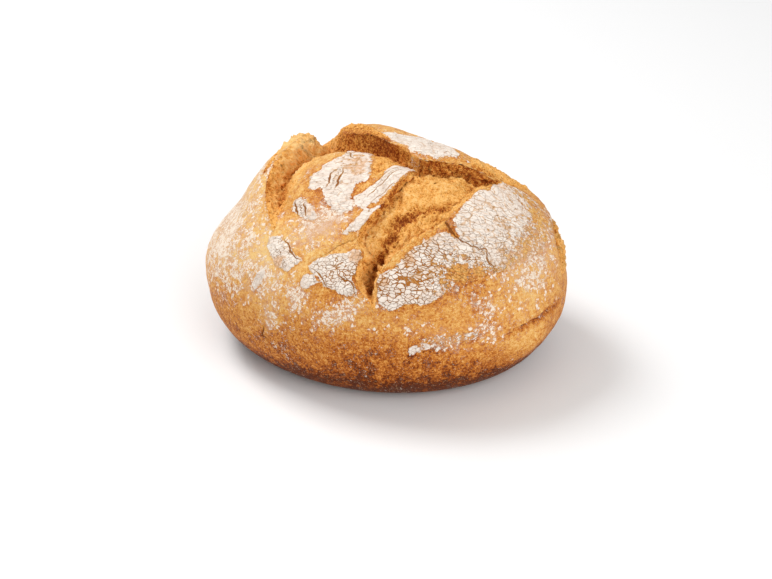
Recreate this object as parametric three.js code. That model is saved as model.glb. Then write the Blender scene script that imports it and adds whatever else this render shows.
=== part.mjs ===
// A rustic bread roll: one round loaf of crusty white dough, baked free-standing.
// It is one closed solid. Its crust burst open along the cuts in its top while it baked, so the
// edges of the crust stand proud of the torn crumb, and it rests on a flat base.
//
// Units are millimetres and +Z is up. The origin is on the base plane, under the middle of the
// roll's outline, and -Y is the front.
import * as THREE from 'three';

// ---- Driving dimensions of the risen dough --------------------------------------------------
const widestRadius = 55; // mean radius at the widest line
const crownHeight = 66; // from the base to the top of the smooth dome
const widestLineHeight = 24; // height of the widest line above the base
const baseRadius = 37.4; // mean radius of the flat base
const domeFullness = 0.95; // 1 is a plain ellipsoid, and less makes fuller shoulders
const riseToTheRight = 0.055; // share of height gained one mean radius to the right

// The outline seen from above isn't a true circle: each lobe adds [waves round the outline,
// share of the radius as a cosine, share of the radius as a sine].
const outlineLobes = [
  [2, 0.06, -0.09],
  [3, 0.023, -0.03],
  [4, 0.015, 0],
];

// ---- The crust, laid flat about the crown ---------------------------------------------------
// A place on the crust is (u, v), in degrees of arc from the crown: u to the right, v to the
// back. 90 degrees out is the widest line and rimAngle is the edge of the flat base. One degree
// is about one millimetre near the crown.
const widestAngle = 90;
const rimAngle = 140;

// Where the crust burst. A burst is the torn crumb between its edges. Each edge is a line of
// [u, v, lift, drop]: lift is how far the crust's edge stands above the smooth dome, and drop is
// how far the torn crumb beside it lies below, in mm. crustSide is 1 where the crust is on the
// left of the line, going along it, and -1 where it is on the right. The three widths, in
// degrees, are the torn wall's, and how far the lift and the drop reach.
const bursts = [
  {
    name: 'front burst',
    edges: [
      {
        name: 'middle plate',
        crustSide: 1,
        wallWidth: 2,
        liftReach: 8,
        dropReach: 6.5,
        points: [
          [-3, -72, 0, 0],
          [-5.3, -67, 0.2, 2],
          [-8.2, -63, 0.4, 3.2],
          [-9.9, -58, 0.5, 3.6],
          [-9.2, -54.5, 0.6, 3.6],
          [-6.6, -51, 0.6, 3.4],
          [-5.8, -47.6, 0.7, 3.4],
          [-8, -44, 0.7, 3.4],
          [-8.3, -41, 0.7, 3.2],
          [-6, -36.5, 0.8, 3],
          [-2, -30.7, 0.8, 2.8],
          [1, -27, 0.8, 2.6],
          [3.6, -22, 0.8, 2.4],
          [6.2, -15.8, 0.8, 2],
          [8.2, -10.2, 0.6, 1.4],
          [9, -7, 0, 0],
        ],
      },
      {
        name: 'right plate',
        crustSide: -1,
        wallWidth: 4,
        liftReach: 9,
        dropReach: 7,
        points: [
          [-2.4, -72, 0, 0],
          [-1, -65, 0.3, 2],
          [-1.3, -60, 0.8, 2.8],
          [0.6, -55.5, 1.1, 2.8],
          [3.3, -51.7, 1.2, 2.8],
          [7.4, -46.7, 1.2, 2.6],
          [12.1, -42.2, 1.2, 2.2],
          [17.1, -37.3, 1.2, 1.6],
          [21, -33.2, 1, 1.2],
          [22, -29.9, 0.9, 1.2],
          [24.7, -24.8, 0.8, 1.2],
          [26.8, -20.9, 0.8, 1.3],
          [28.4, -17.1, 0.8, 1.4],
          [32.6, -14.4, 0.6, 1.4],
          [35.8, -9.5, 0.3, 0.8],
          [38.4, -5, 0, 0],
        ],
      },
    ],
  },
  {
    name: 'top burst',
    edges: [
      {
        name: 'left flap',
        crustSide: 1,
        wallWidth: 7,
        liftReach: 13,
        dropReach: 7,
        points: [
          [-40.5, -26, 0, 0],
          [-40.3, -19, 0.3, 1.5],
          [-39.8, -12, 0.6, 3.8],
          [-38.8, -4, 1, 5],
          [-36.5, 5, 1.8, 5],
          [-32.5, 13, 2.6, 5],
          [-27.5, 19.5, 3.4, 5],
          [-25, 28, 3.4, 5.5],
          [-25.5, 38, 2.5, 4.5],
          [-27, 48, 1, 2],
          [-28, 56, 0, 0],
        ],
      },
      {
        name: 'back ear',
        crustSide: 1,
        wallWidth: 2.2,
        liftReach: 22,
        dropReach: 3,
        points: [
          [-18, 52, 0, 0],
          [-14, 38, 1.5, 2.5],
          [-12.5, 28, 3, 4.5],
          [-11, 20, 3.8, 5.2],
          [-6, 12.5, 3.8, 4.6],
          [0, 7.5, 3.6, 4],
          [5, 2, 3.4, 3.6],
          [8, -3, 3.2, 3.2],
          [12, -5.8, 3, 3],
          [16, -6.2, 2.8, 3],
          [21, -4.6, 2.5, 3],
          [26, -5.2, 2.2, 3],
          [31, -5.6, 1.5, 2.6],
          [36, -5.6, 0.7, 1.4],
          [40, -5.2, 0, 0],
        ],
      },
    ],
  },
  {
    name: 'right side burst',
    edges: [
      {
        name: 'right side split',
        crustSide: 1,
        wallWidth: 2.2,
        liftReach: 7,
        dropReach: 6,
        points: [
          [76, -25, 0, 0],
          [69, -23.5, 0.9, 1.5],
          [63.5, -20.5, 1.6, 3],
          [61, -14, 1.6, 3],
          [61, -7, 1.3, 2.8],
          [60, -1, 1, 2.2],
          [58, 7, 0.6, 1.2],
          [56, 14, 0, 0],
        ],
      },
    ],
  },
];
const wallPull = 0.75; // share by which a torn wall is drawn in under its crust, to stand steep
const fullPullHeight = 2.5; // mm of lift and drop from which a wall is drawn in fully

// Broad swellings and dips, each [u, v, reach along u, reach along v, height in mm].
const swellings = [
  [-58, 20, 15, 22, -3], // the left shoulder dips behind the left flap
  [-14, 19, 9, 12, -2.2], // the crumb falls away between the left flap and the back ear
  [40, 8, 14, 12, -1.2], // and on the right of the back ear
  [20, -17, 11, 10, 1.6], // the crumb pillow that rose in the front burst
];

// The relief of the crust fades to nothing between these angles, so the base rim stays plain.
const reliefFadeStart = 100;
const reliefFadeEnd = 125;

// ---- Mesh fineness --------------------------------------------------------------------------
const gridCells = 60; // cells across the square that is wrapped over the crust, an even number
const crownSpacing = 0.65; // spacing of the cells at the crown, as a share of the even spacing
const edgeSnap = 0.36; // share of a cell within which a grid point moves onto a burst edge
const pointsPerEdgeStep = 5; // points on the smooth curve between two edge points
const normalStep = 0.05; // degrees, for the slope of the smooth dome

const smoothStep = (x) => THREE.MathUtils.smoothstep(x, 0, 1);
const bell = (x) => Math.exp(-x * x);

// The smooth dough: a dome over the widest line and a quarter round down to the flat base.
function smoothDough(u, v) {
  const angle = Math.hypot(u, v);
  const bearing = Math.atan2(v, u);
  let reach;
  let height;
  if (angle <= widestAngle) {
    const fromCrown = THREE.MathUtils.degToRad(angle);
    reach = widestRadius * Math.sin(fromCrown) ** domeFullness;
    height = widestLineHeight
      + (crownHeight - widestLineHeight) * Math.max(Math.cos(fromCrown), 0) ** domeFullness;
  } else {
    const quarter = Math.min((angle - widestAngle) / (rimAngle - widestAngle), 1) * (Math.PI / 2);
    reach = baseRadius + (widestRadius - baseRadius) * Math.cos(quarter);
    height = widestLineHeight * (1 - Math.sin(quarter));
  }
  const outline = outlineLobes.reduce(
    (sum, [waves, cosine, sine]) =>
      sum + cosine * Math.cos(waves * bearing) + sine * Math.sin(waves * bearing),
    1,
  );
  const x = reach * outline * Math.cos(bearing);
  const y = reach * outline * Math.sin(bearing);
  return new THREE.Vector3(x, y, height * (1 + (riseToTheRight * x) / widestRadius));
}

// The outward normal of the smooth dough, from its slope along and across the way to the crown.
function doughNormal(u, v) {
  const angle = Math.max(Math.hypot(u, v), 1e-6);
  const du = (normalStep * u) / angle || normalStep;
  const dv = (normalStep * v) / angle;
  const outward = smoothDough(u + du, v + dv).sub(smoothDough(u - du, v - dv));
  const around = smoothDough(u - dv, v + du).sub(smoothDough(u + dv, v - du));
  return outward.cross(around).normalize();
}

// A burst edge as a smooth curve through its points, in short straight steps. Each step keeps
// its ends on the crust and the lift and drop there.
function edgeSteps({ points }) {
  const curve = new THREE.CatmullRomCurve3(
    points.map(([u, v]) => new THREE.Vector3(u, v, 0)),
    false,
    'catmullrom',
    0.5,
  );
  const count = (points.length - 1) * pointsPerEdgeStep;
  const at = (k) => {
    const index = Math.min(Math.floor(k / pointsPerEdgeStep), points.length - 2);
    const share = k / pointsPerEdgeStep - index;
    const place = curve.getPoint(k / count);
    const mix = (column) =>
      THREE.MathUtils.lerp(points[index][column], points[index + 1][column], share);
    return { u: place.x, v: place.y, lift: mix(2), drop: mix(3) };
  };
  return Array.from({ length: count }, (_, k) => [at(k), at(k + 1)]);
}

const burstLines = bursts.map(({ edges }) =>
  edges.map((edge) => ({ ...edge, steps: edgeSteps(edge) })),
);

// The nearest place on an edge: how far it is, whether this is its crust side, which way it
// lies, and the lift and drop there.
function nearestOnEdge({ steps, crustSide }, u, v) {
  let best = { distance: Infinity };
  for (const [start, end] of steps) {
    const alongU = end.u - start.u;
    const alongV = end.v - start.v;
    const share = THREE.MathUtils.clamp(
      ((u - start.u) * alongU + (v - start.v) * alongV) / (alongU ** 2 + alongV ** 2),
      0,
      1,
    );
    const awayU = u - start.u - alongU * share;
    const awayV = v - start.v - alongV * share;
    const distance = Math.hypot(awayU, awayV);
    if (distance < best.distance) {
      const onLeft = alongU * (v - start.v) - alongV * (u - start.u) >= 0;
      best = {
        distance,
        onCrust: onLeft === crustSide > 0,
        awayU,
        awayV,
        lift: THREE.MathUtils.lerp(start.lift, end.lift, share),
        drop: THREE.MathUtils.lerp(start.drop, end.drop, share),
      };
    }
  }
  return best;
}

// The crust's relief at a place: its height over the smooth dough, and how far the place is
// drawn along the crust so that a torn wall stands steep. The crust beyond an edge is out of
// reach of the other edges of its burst.
function relief(u, v) {
  let height = 0;
  let shiftU = 0;
  let shiftV = 0;
  for (const [atU, atV, reachU, reachV, rise] of swellings) {
    height += rise * bell(Math.hypot((u - atU) / reachU, (v - atV) / reachV));
  }
  for (const edges of burstLines) {
    const near = edges.map((edge) => {
      const found = nearestOnEdge(edge, u, v);
      return { ...found, intoWall: found.onCrust ? 0 : smoothStep(found.distance / edge.wallWidth) };
    });
    edges.forEach(({ wallWidth, liftReach, dropReach }, k) => {
      const { distance, onCrust, awayU, awayV, lift, drop, intoWall } = near[k];
      if (onCrust) {
        height += lift * bell(distance / liftReach);
        return;
      }
      const open = near.reduce((share, other, m) => (m === k ? share : share * other.intoWall), 1);
      const beyondWall = Math.max(distance - wallWidth, 0);
      height += lift * (1 - intoWall) - open * drop * intoWall * bell(beyondWall / dropReach);
      const pull = open * wallPull * Math.min((lift + drop) / fullPullHeight, 1)
        * bell(distance / (2 * wallWidth));
      shiftU -= pull * awayU;
      shiftV -= pull * awayV;
    });
  }
  return { height, shiftU, shiftV };
}

// A point of the roll's surface.
function crustPoint(u, v) {
  const { height, shiftU, shiftV } = relief(u, v);
  const angle = Math.hypot(u, v);
  const kept = 1 - smoothStep((angle - reliefFadeStart) / (reliefFadeEnd - reliefFadeStart));
  const place = smoothDough(u + shiftU, v + shiftV);
  return place.addScaledVector(doughNormal(u + shiftU, v + shiftV), height * kept);
}

// A grid point close to a burst edge moves onto it, so that the edge runs clean.
function snapToEdges(u, v) {
  const cell = (2 * rimAngle * crownSpacing) / gridCells;
  for (const edge of burstLines.flat()) {
    const { distance, awayU, awayV } = nearestOnEdge(edge, u, v);
    if (distance < edgeSnap * cell) return [u - awayU, v - awayV];
  }
  return [u, v];
}

// A square grid wrapped over the crust as rings of a disc: its middle is the crown and its four
// sides are the rim of the base. Column and row run from 0 to gridCells.
function gridPlace(column, row) {
  const x = (2 * column) / gridCells - 1;
  const y = (2 * row) / gridCells - 1;
  const ring = Math.max(Math.abs(x), Math.abs(y));
  if (ring === 0) return [0, 0];
  const eighth = Math.PI / 4;
  let bearing = Math.abs(x) >= Math.abs(y) ? (eighth * y) / x : 2 * eighth - (eighth * x) / y;
  if ((Math.abs(x) >= Math.abs(y) ? x : y) < 0) bearing += Math.PI;
  const angle = rimAngle * (crownSpacing * ring + (1 - crownSpacing) * ring ** 3);
  return snapToEdges(angle * Math.cos(bearing), angle * Math.sin(bearing));
}

// The whole closed solid: the wrapped grid, each cell split along the diagonal that points to
// the crown, and the flat base inside its rim.
function rollGeometry() {
  const perSide = gridCells + 1;
  const index = (column, row) => row * perSide + column;
  const points = [];
  for (let row = 0; row < perSide; row += 1) {
    for (let column = 0; column < perSide; column += 1) {
      points.push(crustPoint(...gridPlace(column, row)));
    }
  }
  const triangles = [];
  for (let row = 0; row < gridCells; row += 1) {
    for (let column = 0; column < gridCells; column += 1) {
      const [a, b] = [index(column, row), index(column + 1, row)];
      const [c, d] = [index(column + 1, row + 1), index(column, row + 1)];
      const sameSigns = (2 * column + 1 - gridCells) * (2 * row + 1 - gridCells) > 0;
      triangles.push(...(sameSigns ? [a, b, c, a, c, d] : [a, b, d, b, c, d]));
    }
  }
  const rim = [];
  for (let k = 0; k < gridCells; k += 1) rim.push(index(k, 0));
  for (let k = 0; k < gridCells; k += 1) rim.push(index(gridCells, k));
  for (let k = gridCells; k > 0; k -= 1) rim.push(index(k, gridCells));
  for (let k = gridCells; k > 0; k -= 1) rim.push(index(0, k));
  const rimOutline = rim.map((k) => new THREE.Vector2(points[k].x, points[k].y));
  for (const [a, b, c] of THREE.ShapeUtils.triangulateShape(rimOutline, [])) {
    triangles.push(rim[a], rim[c], rim[b]);
  }
  const geometry = new THREE.BufferGeometry();
  geometry.setAttribute(
    'position',
    new THREE.Float32BufferAttribute(points.flatMap((p) => p.toArray()), 3),
  );
  geometry.setIndex(triangles);
  geometry.computeBoundingBox();
  const middle = geometry.boundingBox.getCenter(new THREE.Vector3());
  geometry.translate(-middle.x, -middle.y, 0);
  geometry.computeVertexNormals();
  return geometry;
}

const crust = new THREE.MeshStandardMaterial({
  color: 0xc98a45,
  roughness: 0.8,
  metalness: 0,
});

const breadRoll = new THREE.Mesh(rollGeometry(), crust);
breadRoll.name = 'bread_roll';

const part = new THREE.Group();
part.add(breadRoll);

export default part;
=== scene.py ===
import math

import bpy
import numpy as np
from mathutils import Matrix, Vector


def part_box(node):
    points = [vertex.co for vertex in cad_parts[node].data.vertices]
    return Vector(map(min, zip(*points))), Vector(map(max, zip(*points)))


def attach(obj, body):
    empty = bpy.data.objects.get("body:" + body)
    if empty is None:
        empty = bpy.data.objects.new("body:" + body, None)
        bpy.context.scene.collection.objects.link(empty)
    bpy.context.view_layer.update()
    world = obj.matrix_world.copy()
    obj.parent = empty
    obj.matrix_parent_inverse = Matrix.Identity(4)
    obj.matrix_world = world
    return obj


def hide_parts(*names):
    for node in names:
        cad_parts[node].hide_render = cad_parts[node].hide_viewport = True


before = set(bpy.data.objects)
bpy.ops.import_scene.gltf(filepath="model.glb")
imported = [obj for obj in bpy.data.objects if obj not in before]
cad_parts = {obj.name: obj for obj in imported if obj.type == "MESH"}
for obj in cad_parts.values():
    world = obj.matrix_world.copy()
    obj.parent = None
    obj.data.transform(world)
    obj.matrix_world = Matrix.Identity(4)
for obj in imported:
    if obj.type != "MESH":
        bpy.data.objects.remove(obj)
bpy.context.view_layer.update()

roll_low, roll_high = (np.array(corner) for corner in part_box("bread_roll"))

# ---- The bread roll: its risen dough -----------------------------------------------------------
# One round of crusty white dough, shaped by hand and baked free-standing on its flat base. It is
# one piece: everything below, from the bursts to the flour, is on its one closed surface.

# Lengths are in mm, and angles are degrees of arc from the crown. Each lobe of the outline has
# how many of it there are round the roll, and its shares of a cosine and of a sine.
MM = 0.001
WIDEST_RADIUS = 55.0
CROWN_HEIGHT = 66.0
WIDEST_LINE_HEIGHT = 24.0
BASE_RADIUS = 37.4
DOME_FULLNESS = 0.95
RISE_TO_THE_RIGHT = 0.055
OUTLINE_LOBES = [(2, 0.06, -0.09), (3, 0.023, -0.03), (4, 0.015, 0.0)]
WIDEST_ANGLE = 90.0
RIM_ANGLE = 140.0


def smooth_dough(u, v):
    """The smooth dough at crust-map places u, v: degrees of arc from the crown, to the right and
    to the back. Its reach grows as a sine and its height falls as a cosine from the crown to the
    widest line, each to the power of the dome's fullness, and a quarter round leads from there
    down to the flat base. The reach is multiplied by the outline's lobes, a sum of cosines and
    sines of the bearing, and the height by a share that grows to the right."""
    angle = np.hypot(u, v)
    bearing = np.arctan2(v, u)
    from_crown = np.radians(np.minimum(angle, WIDEST_ANGLE))
    quarter = np.clip((angle - WIDEST_ANGLE) / (RIM_ANGLE - WIDEST_ANGLE), 0, 1) * np.pi / 2
    on_dome = angle <= WIDEST_ANGLE
    reach = np.where(
        on_dome,
        WIDEST_RADIUS * np.sin(from_crown) ** DOME_FULLNESS,
        BASE_RADIUS + (WIDEST_RADIUS - BASE_RADIUS) * np.cos(quarter),
    )
    rise = np.maximum(np.cos(from_crown), 0) ** DOME_FULLNESS
    height = np.where(
        on_dome,
        WIDEST_LINE_HEIGHT + (CROWN_HEIGHT - WIDEST_LINE_HEIGHT) * rise,
        WIDEST_LINE_HEIGHT * (1 - np.sin(quarter)),
    )
    outline = 1 + sum(
        cosine * np.cos(count * bearing) + sine * np.sin(count * bearing)
        for count, cosine, sine in OUTLINE_LOBES
    )
    x = reach * outline * np.cos(bearing)
    y = reach * outline * np.sin(bearing)
    return np.stack([x, y, height * (1 + RISE_TO_THE_RIGHT * x / WIDEST_RADIUS)], axis=-1)


def dough_normal(u, v, step=0.05):
    """The smooth dough's outward normal: the cross product of its slope away from the crown and
    its slope round the crown, each taken over a short step."""
    angle = np.maximum(np.hypot(u, v), 1e-6)
    du, dv = step * u / angle, step * v / angle
    outward = smooth_dough(u + du, v + dv) - smooth_dough(u - du, v - dv)
    around = smooth_dough(u - dv, v + du) - smooth_dough(u + dv, v - du)
    normal = np.cross(outward, around)
    return normal / np.maximum(np.linalg.norm(normal, axis=-1, keepdims=True), 1e-9)


# ---- The bread roll: its bursts ----------------------------------------------------------------
# In the oven the crust burst open along a few lines. Its edges curl up and stand proud, and the
# dough torn open between them baked as rough golden crumb.

# Each edge: which side of the line the crust is on, the width of the torn wall, how far its lift
# and its drop reach, in degrees, and its points (u, v, lift, drop), lift and drop in mm.
MIDDLE_PLATE = dict(crust_side=1, wall=3.0, lift_reach=8, drop_reach=6.5, undercut=0.4, points=[
    (-3, -72, 0, 0), (-5.3, -67, 0.2, 2), (-8.2, -63, 0.4, 3.2), (-9.9, -58, 0.5, 3.6),
    (-9.2, -54.5, 0.6, 3.6), (-6.6, -51, 0.6, 3.4), (-5.8, -47.6, 0.7, 3.4), (-8, -44, 0.7, 3.4),
    (-8.3, -41, 0.7, 3.2), (-6, -36.5, 0.8, 3), (-2, -30.7, 0.8, 2.8), (1, -27, 0.8, 2.6),
    (3.6, -22, 0.8, 2.4), (6.2, -15.8, 0.8, 2), (8.2, -10.2, 0.6, 1.4), (9, -7, 0, 0)])
RIGHT_PLATE = dict(crust_side=-1, wall=4.0, lift_reach=9, drop_reach=7, undercut=0.0, points=[
    (-2.4, -72, 0, 0), (-1, -65, 0.3, 2), (-1.3, -60, 0.8, 2.8), (0.6, -55.5, 1.1, 2.8),
    (3.3, -51.7, 1.2, 2.8), (7.4, -46.7, 1.2, 2.6), (12.1, -42.2, 1.2, 2.2),
    (17.1, -37.3, 1.2, 1.6), (21, -33.2, 1, 1.2), (22, -29.9, 0.9, 1.2), (24.7, -24.8, 0.8, 1.2),
    (26.8, -20.9, 0.8, 1.3), (28.4, -17.1, 0.8, 1.4), (32.6, -14.4, 0.6, 1.4),
    (35.8, -9.5, 0.3, 0.8), (38.4, -5, 0, 0)])
LEFT_FLAP = dict(crust_side=1, wall=7.0, lift_reach=13, drop_reach=7, undercut=0.0, points=[
    (-40.5, -26, 0, 0), (-40.3, -19, 0.3, 1.5), (-39.8, -12, 0.6, 3.8), (-38.8, -4, 1, 5),
    (-36.5, 5, 1.8, 5), (-32.5, 13, 2.6, 5), (-27.5, 19.5, 3.4, 5), (-25, 28, 3.4, 5.5),
    (-25.5, 38, 2.5, 4.5), (-27, 48, 1, 2), (-28, 56, 0, 0)])
BACK_EAR = dict(crust_side=1, wall=4.0, lift_reach=22, drop_reach=3, undercut=1.2, points=[
    (-18, 52, 0, 0), (-14, 38, 1.5, 2.5), (-12.5, 28, 3, 4.5), (-11, 20, 3.8, 5.2),
    (-6, 12.5, 3.8, 4.6), (0, 7.5, 3.6, 4), (5, 2, 3.4, 3.6), (8, -3, 3.2, 3.2),
    (12, -5.8, 3, 3), (16, -6.2, 2.8, 3), (21, -4.6, 2.5, 3), (26, -5.2, 2.2, 3),
    (31, -5.6, 1.5, 2.6), (36, -5.6, 0.7, 1.4), (40, -5.2, 0, 0)])
RIGHT_SIDE_SPLIT = dict(crust_side=1, wall=3.2, lift_reach=7, drop_reach=6, undercut=0.4, points=[
    (76, -25, 0, 0), (69, -23.5, 0.9, 1.5), (63.5, -20.5, 1.6, 3), (61, -14, 1.6, 3),
    (61, -7, 1.3, 2.8), (60, -1, 1, 2.2), (58, 7, 0.6, 1.2), (56, 14, 0, 0)])
BURSTS = [[MIDDLE_PLATE, RIGHT_PLATE], [LEFT_FLAP, BACK_EAR], [RIGHT_SIDE_SPLIT]]
# How far a torn wall is drawn in towards its edge, as a share of its distance, and the height of
# lift and drop together from which it is drawn in whole.
WALL_PULL = 0.88
FULL_PULL_HEIGHT = 2.5
# Broad swellings and dips: u, v, reach along u and along v, height in mm.
SWELLINGS = [(-58, 20, 15, 22, -3), (-14, 19, 9, 12, -2.2), (40, 8, 14, 12, -1.2),
             (20, -17, 11, 10, 1.6)]
# Between these angles all relief fades to the smooth base.
RELIEF_FADE = (100.0, 125.0)


def smooth_step(x):
    """0 below 0, 1 above 1, and three x squared less two x cubed between."""
    x = np.clip(x, 0, 1)
    return x * x * (3 - 2 * x)


def bell(x):
    """A bell curve: e to the power of minus x squared."""
    return np.exp(-np.square(x))


def soft_spots(spots, u, v):
    """A sum of bell-shaped spots over the crust map. Each spot has its middle u and v, its reach
    along u and along v, and its strength."""
    return sum(strength * bell(np.hypot((u - at_u) / reach_u, (v - at_v) / reach_v))
               for at_u, at_v, reach_u, reach_v, strength in spots)


def smooth_line(points, closed=False, steps=5):
    """A Catmull-Rom curve through the points, in straight steps; every column is carried."""
    points = np.array(points, float)
    count = len(points)
    spans = count if closed else count - 1
    t = np.linspace(0, 1, steps, endpoint=False)[:, None]
    pieces = []
    for k in range(spans):
        near = [(k + m) % count if closed else min(max(k + m, 0), count - 1) for m in (-1, 0, 1, 2)]
        a, b, c, d = points[near]
        pieces.append(b + 0.5 * ((c - a) * t + (2 * a - 5 * b + 4 * c - d) * t ** 2
                                 + (3 * b - a - 3 * c + d) * t ** 3))
    if not closed:
        pieces.append(points[-1:])
    return np.concatenate(pieces)


def nearest_on_line(u, v, line):
    """For each place, the distance to the nearest point of the line, the vector from that point,
    whether the place is on the line's left, and the line's further columns there. The places are
    taken in lots to keep the arrays small."""
    start, along = line[:-1], np.diff(line, axis=0)
    length2 = np.maximum((along[:, :2] ** 2).sum(1), 1e-12)
    found = []
    for lot in np.array_split(np.arange(len(u)), len(u) // 20000 + 1):
        du = u[lot, None] - start[:, 0]
        dv = v[lot, None] - start[:, 1]
        share = np.clip((du * along[:, 0] + dv * along[:, 1]) / length2, 0, 1)
        away_u = du - share * along[:, 0]
        away_v = dv - share * along[:, 1]
        best = np.hypot(away_u, away_v).argmin(1)
        row = np.arange(len(lot))
        left = along[best, 0] * dv[row, best] - along[best, 1] * du[row, best] >= 0
        columns = start[best, 2:] + share[row, best, None] * along[best, 2:]
        found.append(np.column_stack([away_u[row, best], away_v[row, best], left, columns]))
    found = np.concatenate(found)
    return np.hypot(found[:, 0], found[:, 1]), found[:, :2], found[:, 2] > 0, found[:, 3:]


def burst_relief(u, v, ragged):
    """The height of the crust over the smooth dough and its shift over the crust map. Beside an
    edge the crust lifts as a bell curve of the distance. On the torn side it steps down over the
    wall's width by the lift and the drop, and rises again as a bell curve; the wall is drawn in
    towards the edge so that it stands steep, and a little further where it is undercut. Ragged
    is added to the distance, so that the edges wander. Also gives how steeply torn each place is."""
    height = soft_spots(SWELLINGS, u, v)
    shift = np.zeros((len(u), 2))
    walls = np.zeros(len(u))
    for edges in BURSTS:
        near = []
        for edge in edges:
            distance, away, left, columns = nearest_on_line(u, v, smooth_line(edge["points"]))
            on_crust = left == (edge["crust_side"] > 0)
            inward = np.where(on_crust, -distance, distance) + ragged
            near.append((np.maximum(inward, 0), inward <= 0, distance, away,
                         columns[:, 0], columns[:, 1], smooth_step(inward / edge["wall"])))
        for k, edge in enumerate(edges):
            inward, on_crust, distance, away, lift, drop, into_wall = near[k]
            opened = np.ones(len(u))
            for m, other in enumerate(near):
                if m != k:
                    opened = opened * other[6]
            beyond = np.maximum(inward - edge["wall"], 0)
            crust = np.where(on_crust, lift * bell(distance / edge["lift_reach"]),
                             lift * (1 - into_wall))
            height = height + crust - opened * drop * into_wall * bell(beyond / edge["drop_reach"])
            strength = opened * np.clip((lift + drop) / FULL_PULL_HEIGHT, 0, 1)
            pull = WALL_PULL * inward * bell(inward / (2 * edge["wall"]))
            pull += edge["undercut"] * into_wall * bell(beyond / (2 * edge["wall"]))
            toward_edge = away / np.maximum(distance, 1e-6)[:, None]
            shift -= np.where(on_crust, 0, strength * pull)[:, None] * toward_edge
            walls = np.maximum(walls, strength * into_wall * bell(beyond / (0.6 * edge["wall"])))
    return height, shift, walls


def places(edge, first=0, last=None):
    """An edge's points without their heights."""
    return [point[:2] for point in edge["points"][first:last]]


# The torn crumb's outlines on the crust map. The first three follow their edges' own points.
TORN_OUTLINES = [
    # the front burst, with the pillow of crumb above it
    places(MIDDLE_PLATE) + places(BACK_EAR, 8, 14) + places(RIGHT_PLATE)[::-1],
    # the pocket behind the left flap, and the hollow under the ear's left end
    places(LEFT_FLAP) + places(BACK_EAR, 0, 8) + [
        (6, -5), (3.5, -5.5), (1.5, -8), (0, -12), (-2, -12.5), (-3.5, -8), (-3.5, -1), (-5, 5),
        (-7.5, 8.5), (-11, 10), (-14.5, 9), (-18.5, 4), (-23, -3), (-28, -11), (-34, -18)],
    # the split on the right side, and the torn shoulder above it
    places(RIGHT_SIDE_SPLIT) + [(62, 15), (70, 9), (76, 1), (79, -10), (80, -20)],
    [(26, -4), (29, 3), (33, 12), (42, 20), (52, 19), (58, 10), (53, 3), (47, -1), (41, -4),
     (33, -5)],
    # the torn lips of the ear's left end and of the left flap
    [(-14, 38), (-12, 24), (-10, 16), (-5, 10.5), (1, 6.5), (4, 5), (3, 10), (-1, 16), (-4, 26),
     (-8, 38)],
    [(-37, 7), (-32, 16), (-27, 22), (-25, 32), (-28, 34), (-30.5, 24), (-34.5, 16), (-39, 8)],
]


def outline_distance(u, v, outlines):
    """The distance to the nearest of the outlines, less than zero inside any of them. A place is
    inside where a ray along u crosses the outline an odd number of times."""
    nearest = np.full(len(u), 1e9)
    for outline in outlines:
        loop = smooth_line(outline, closed=True, steps=4)
        distance = nearest_on_line(u, v, np.vstack([loop, loop[:1]]))[0]
        crossings = np.zeros(len(u), int)
        for (u0, v0), (u1, v1) in zip(loop, np.roll(loop, -1, axis=0)):
            spans = (v0 > v) != (v1 > v)
            crossings += spans & (u < u0 + (u1 - u0) * (v - v0) / (v1 - v0 + 1e-12))
        nearest = np.minimum(nearest, np.where(crossings % 2 == 1, -distance, distance))
    return nearest


# ---- The bread roll: the roughness of crust and crumb ------------------------------------------
# Crust is nearly smooth, with low undulations from the hand shaping. Torn crumb is a mass of
# ridges and pores, with long strands in the front burst and the pocket.

TABLE_SIZE = 256
OCTAVE_SHIFT = 17.3
WAVE_GAIN = 1.6
random = np.random.RandomState(7)
SHUFFLE = np.tile(random.permutation(TABLE_SIZE), 3)
SLOPES = random.normal(size=(TABLE_SIZE, 3))
SLOPES /= np.linalg.norm(SLOPES, axis=1, keepdims=True)
SCATTER = random.uniform(0.1, 0.9, size=(TABLE_SIZE, 3))
CORNERS = [(a, b, c) for a in (0, 1) for b in (0, 1) for c in (0, 1)]
NEIGHBOURS = [(a, b, c) for a in (-1, 0, 1) for b in (-1, 0, 1) for c in (-1, 0, 1)]


def cell_number(cell):
    """A repeatable random number for each cell of the lattice, from the shuffled table."""
    cell = cell & (TABLE_SIZE - 1)
    return SHUFFLE[SHUFFLE[SHUFFLE[cell[:, 0]] + cell[:, 1]] + cell[:, 2]]


def waves(place, octaves=1):
    """Gradient noise, about -1 to 1: each lattice corner has a random slope, and the slopes'
    heights are blended. Each further octave is half as high and half as wide."""
    total = np.zeros(len(place))
    for octave in range(octaves):
        finer = place * 2.0 ** octave + OCTAVE_SHIFT * octave
        cell = np.floor(finer).astype(int)
        inside = finer - cell
        fade = inside ** 3 * (inside * (inside * 6 - 15) + 10)
        for corner in CORNERS:
            slope = SLOPES[cell_number(cell + corner)]
            share = np.prod(np.where(corner, fade, 1 - fade), axis=1)
            total += WAVE_GAIN * 0.5 ** octave * share * (slope * (inside - corner)).sum(1)
    return total


def layered_waves(place, layers):
    """A sum of layers of gradient noise. Each layer has its height, the width of its waves in mm,
    how far along the noise it is read, so that no two layers match, and its octaves."""
    return sum(height * waves(place / width + along, octaves)
               for height, width, along, octaves in layers)


def pebbles(place):
    """Cell noise: the distance to the nearest of points scattered one to a lattice cell."""
    cell = np.floor(place).astype(int)
    inside = place - cell
    nearest = np.full(len(place), 9.0)
    for step in NEIGHBOURS:
        point = np.array(step) + SCATTER[cell_number(cell + step)]
        nearest = np.minimum(nearest, np.linalg.norm(point - inside, axis=1))
    return nearest


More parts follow.
